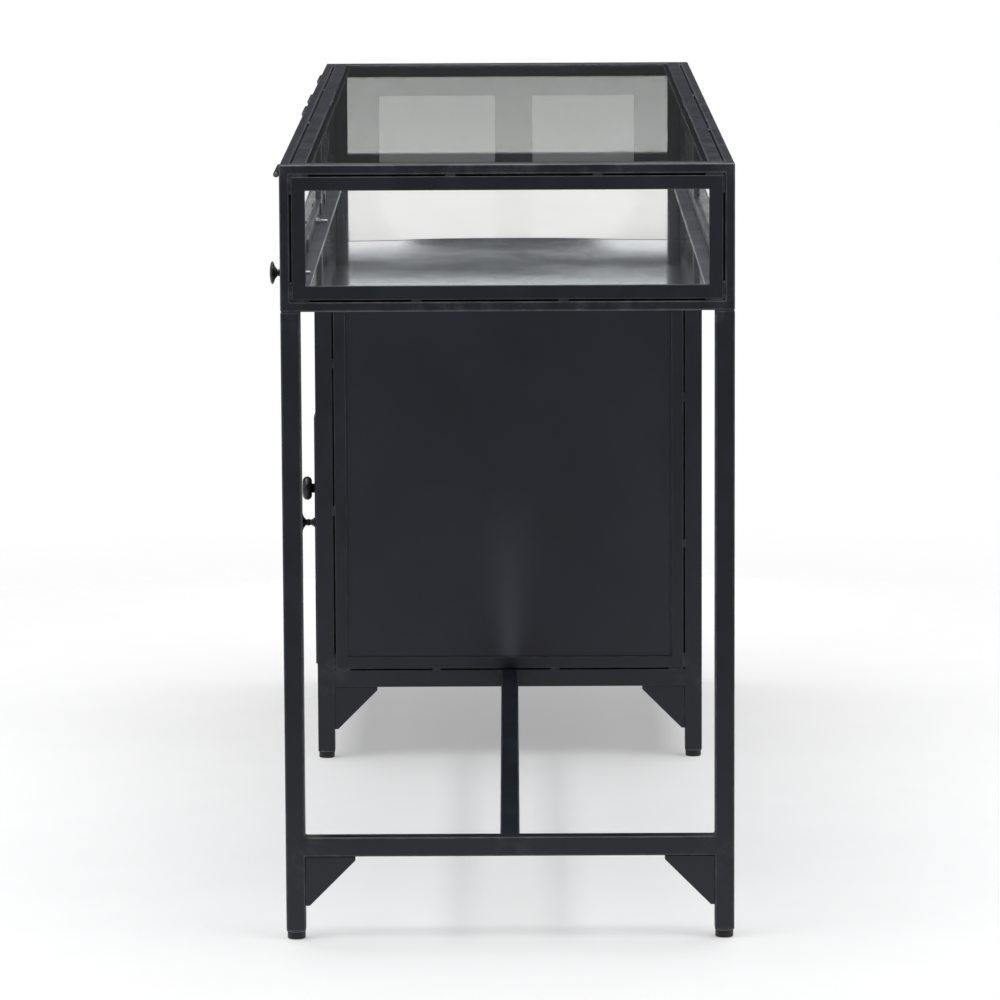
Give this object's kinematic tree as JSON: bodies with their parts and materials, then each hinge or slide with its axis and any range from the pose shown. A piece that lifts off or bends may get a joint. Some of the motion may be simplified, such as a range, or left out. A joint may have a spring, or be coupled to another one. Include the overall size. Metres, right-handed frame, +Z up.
{
  "type": "glazed display desk",
  "caption": "Black iron display desk: glazed shadow-box case with flip-up front flaps on two legs and a sheet-steel pedestal with door and drawer.",
  "frame": {"origin": "middle of the footprint at floor level, under the centre of the whole desk with its knobs", "axes": "+X along the length towards the open two-legged end, the front with the flaps, door and knobs faces -Y, +Z up"},
  "size_m": [1.524, 0.4784, 0.792],
  "materials": {
    "black_iron": "satin black over welded and ground iron",
    "black_sheet": "satin black sheet",
    "floor_steel": "bright rolled sheet, slightly wavy",
    "bare_steel": "plain bright hardware",
    "clear_glass": "clear",
    "top_glass": "clear thick plate with a green edge",
    "knob_black": "satin black",
    "glide_plastic": "matt"
  },
  "bodies": {
    "root": {"case_top_long_bars": "black_iron", "case_bottom_long_bars": "black_iron", "case_end_bars": "black_iron", "case_posts": "black_iron", "end_glazing_frames": "black_iron", "back_glazing_frames": "black_iron", "top_glazing_frame": "black_iron", "end_glass": "clear_glass", "back_glass": "clear_glass", "top_glass": "top_glass", "glazing_beads": "black_iron", "floor_bearers": "black_iron", "floor_side_strips": "black_iron", "floor_sheet_near": "floor_steel", "floor_sheet_far": "floor_steel", "flap_stops": "black_iron", "flap_hinge_fixed_leaves": "black_iron", "flap_hinge_pins": "bare_steel", "stitch_welds": "black_iron", "near_legs": "black_iron", "near_low_rail": "black_iron", "stretcher": "black_iron", "gussets": "black_iron", "glides": "glide_plastic", "pedestal_posts": "black_iron", "pedestal_bottom_rails": "black_iron", "pedestal_top_rails": "black_iron", "panel_frames": "black_iron", "pedestal_panels": "black_sheet", "cabinet_floor": "black_sheet", "divider_bars": "black_iron", "divider_shelf": "black_sheet", "drawer_runners": "bare_steel", "door_hinge_fixed_leaves": "black_iron", "door_hinge_pins": "bare_steel"},
    "long_flap": {"long_flap_frame": "black_iron", "long_flap_glass": "clear_glass", "long_flap_beads": "black_iron", "long_flap_hinge_leaves": "black_iron", "long_flap_knobs": "knob_black", "long_flap_knob_studs": "bare_steel"},
    "short_flap": {"short_flap_frame": "black_iron", "short_flap_glass": "clear_glass", "short_flap_beads": "black_iron", "short_flap_hinge_leaves": "black_iron", "short_flap_knob": "knob_black", "short_flap_knob_stud": "bare_steel"},
    "door": {"door_frame": "black_iron", "door_panel": "black_sheet", "door_hinge_leaves": "black_iron", "door_pull": "knob_black", "door_pull_stud": "bare_steel"},
    "latch": {"latch_knob": "knob_black", "latch_cam": "bare_steel"},
    "drawer": {"drawer_box": "black_sheet", "drawer_front": "black_sheet", "drawer_slides": "bare_steel", "drawer_knob": "knob_black", "drawer_knob_stud": "bare_steel"}
  },
  "joints": [
    {"name": "long_flap_hinge", "type": "hinge", "parent": "root", "child": "long_flap", "pos_m": [0.2675, -0.2213, 0.781], "axis": [-1, 0, 0], "range_deg": [0, 170]},
    {"name": "short_flap_hinge", "type": "hinge", "parent": "root", "child": "short_flap", "pos_m": [-0.4945, -0.2213, 0.781], "axis": [-1, 0, 0], "range_deg": [0, 170]},
    {"name": "door_hinge", "type": "hinge", "parent": "root", "child": "door", "pos_m": [-0.741, -0.2237, 0.2595], "axis": [0, 0, -1], "range_deg": [0, 120]},
    {"name": "latch_turn", "type": "hinge", "parent": "door", "child": "latch", "pos_m": [-0.2585, -0.2178, 0.321], "axis": [0, 1, 0], "range_deg": [0, 90]},
    {"name": "drawer_slide", "type": "slide", "parent": "root", "child": "drawer", "axis": [0, -1, 0], "range_m": [0, 0.3]}
  ]
}
